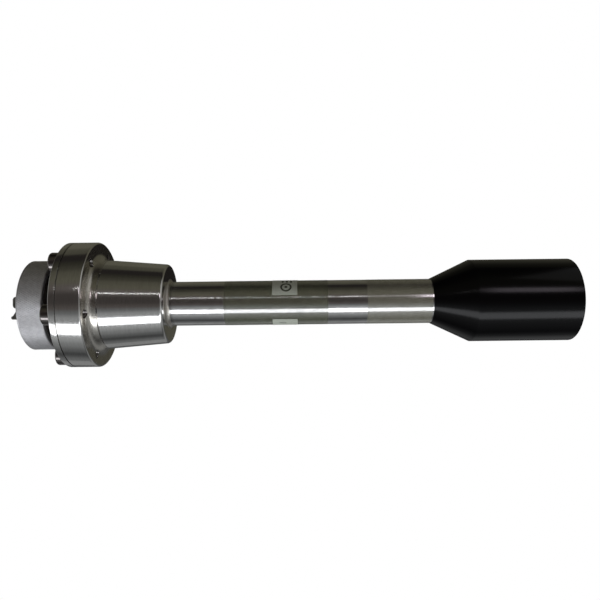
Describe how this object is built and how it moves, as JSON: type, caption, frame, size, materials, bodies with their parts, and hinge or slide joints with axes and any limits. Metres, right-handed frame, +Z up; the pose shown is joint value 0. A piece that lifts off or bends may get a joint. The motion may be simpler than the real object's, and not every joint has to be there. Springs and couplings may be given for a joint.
{
  "type": "ultrasonic distance probe",
  "caption": "Flange-mounted ultrasonic distance probe: turned hub, steel tube, black sensing head, and a knurled clamp ring behind a screwed cover plate.",
  "frame": {"origin": "centre of the flange's front face, on the probe's axis", "axes": "+X along the probe's axis towards the sensing face, -X towards the knurled ring and the terminals, +Z up"},
  "size_m": [0.2692, 0.061, 0.061],
  "materials": {
    "turned_steel": "fine turned lines round the axis",
    "tube_steel": "drawn and polished",
    "screw_steel": "bright, slightly worn",
    "dark_aluminium": "dark anodised",
    "knurled_aluminium": "satin with a fine diamond knurl",
    "black_moulding": "moulded",
    "head_polymer": "turned black polymer, satin",
    "window_polymer": "fine satin",
    "seal_rubber": "smooth",
    "tag_brass": "tinned and dulled",
    "washer_brass": "plain",
    "label_paper": "printed paper",
    "clear_tape": "clear film with a green cast",
    "matching_compound": "cast, glass filled",
    "piezo_ceramic": "ground, silvered faces",
    "backing_rubber": "cast",
    "sleeve_foam": "cork and rubber",
    "potting_resin": "cast resin",
    "board_laminate": "green laminate",
    "ferrite": "sintered",
    "copper_winding": "enamelled copper wire",
    "red_insulation": "extruded",
    "black_insulation": "extruded"
  },
  "bodies": {
    "probe": {"hub_body": "turned_steel", "cover_plate": "turned_steel", "cover_screws": "screw_steel", "cover_seal": "seal_rubber", "neck_gasket": "seal_rubber", "threaded_neck": "dark_aluminium", "terminal_insert": "black_moulding", "insert_seal": "seal_rubber", "upper_terminal_tag": "tag_brass", "lower_terminal_tag": "tag_brass", "probe_tube": "tube_steel", "tube_weld": "turned_steel", "paper_label": "label_paper", "rear_tape": "clear_tape", "front_tape": "clear_tape", "head_adaptor": "turned_steel", "adaptor_seal": "seal_rubber", "sensing_head_shell": "head_polymer", "front_window": "window_polymer", "matching_layer": "matching_compound", "piezo_disc": "piezo_ceramic", "backing_block": "backing_rubber", "isolation_sleeve": "sleeve_foam", "head_potting": "potting_resin", "circuit_board": "board_laminate", "board_pillars": "washer_brass", "board_screws": "screw_steel", "core_cup_rear": "ferrite", "core_cup_front": "ferrite", "wound_coil": "copper_winding", "signal_lead": "red_insulation", "ground_lead": "black_insulation", "rear_signal_lead": "red_insulation", "rear_ground_lead": "black_insulation"},
    "ring_carrier": {"slip_washer": "washer_brass"},
    "clamp_ring": {"knurled_ring": "knurled_aluminium"}
  },
  "joints": [
    {"name": "ring_travel", "type": "slide", "parent": "probe", "child": "ring_carrier", "axis": [-1, 0, 0], "range_m": [0, 0.00601]},
    {"name": "ring_turn", "type": "hinge", "parent": "ring_carrier", "child": "clamp_ring", "pos_m": [-0.0272, 0, 0], "axis": [-1, 0, 0], "range_deg": [0, 1440]}
  ],
  "couplings": [
    {"joint": "ring_travel", "follows": "ring_turn", "m_per_rad": 0.00023873}
  ]
}
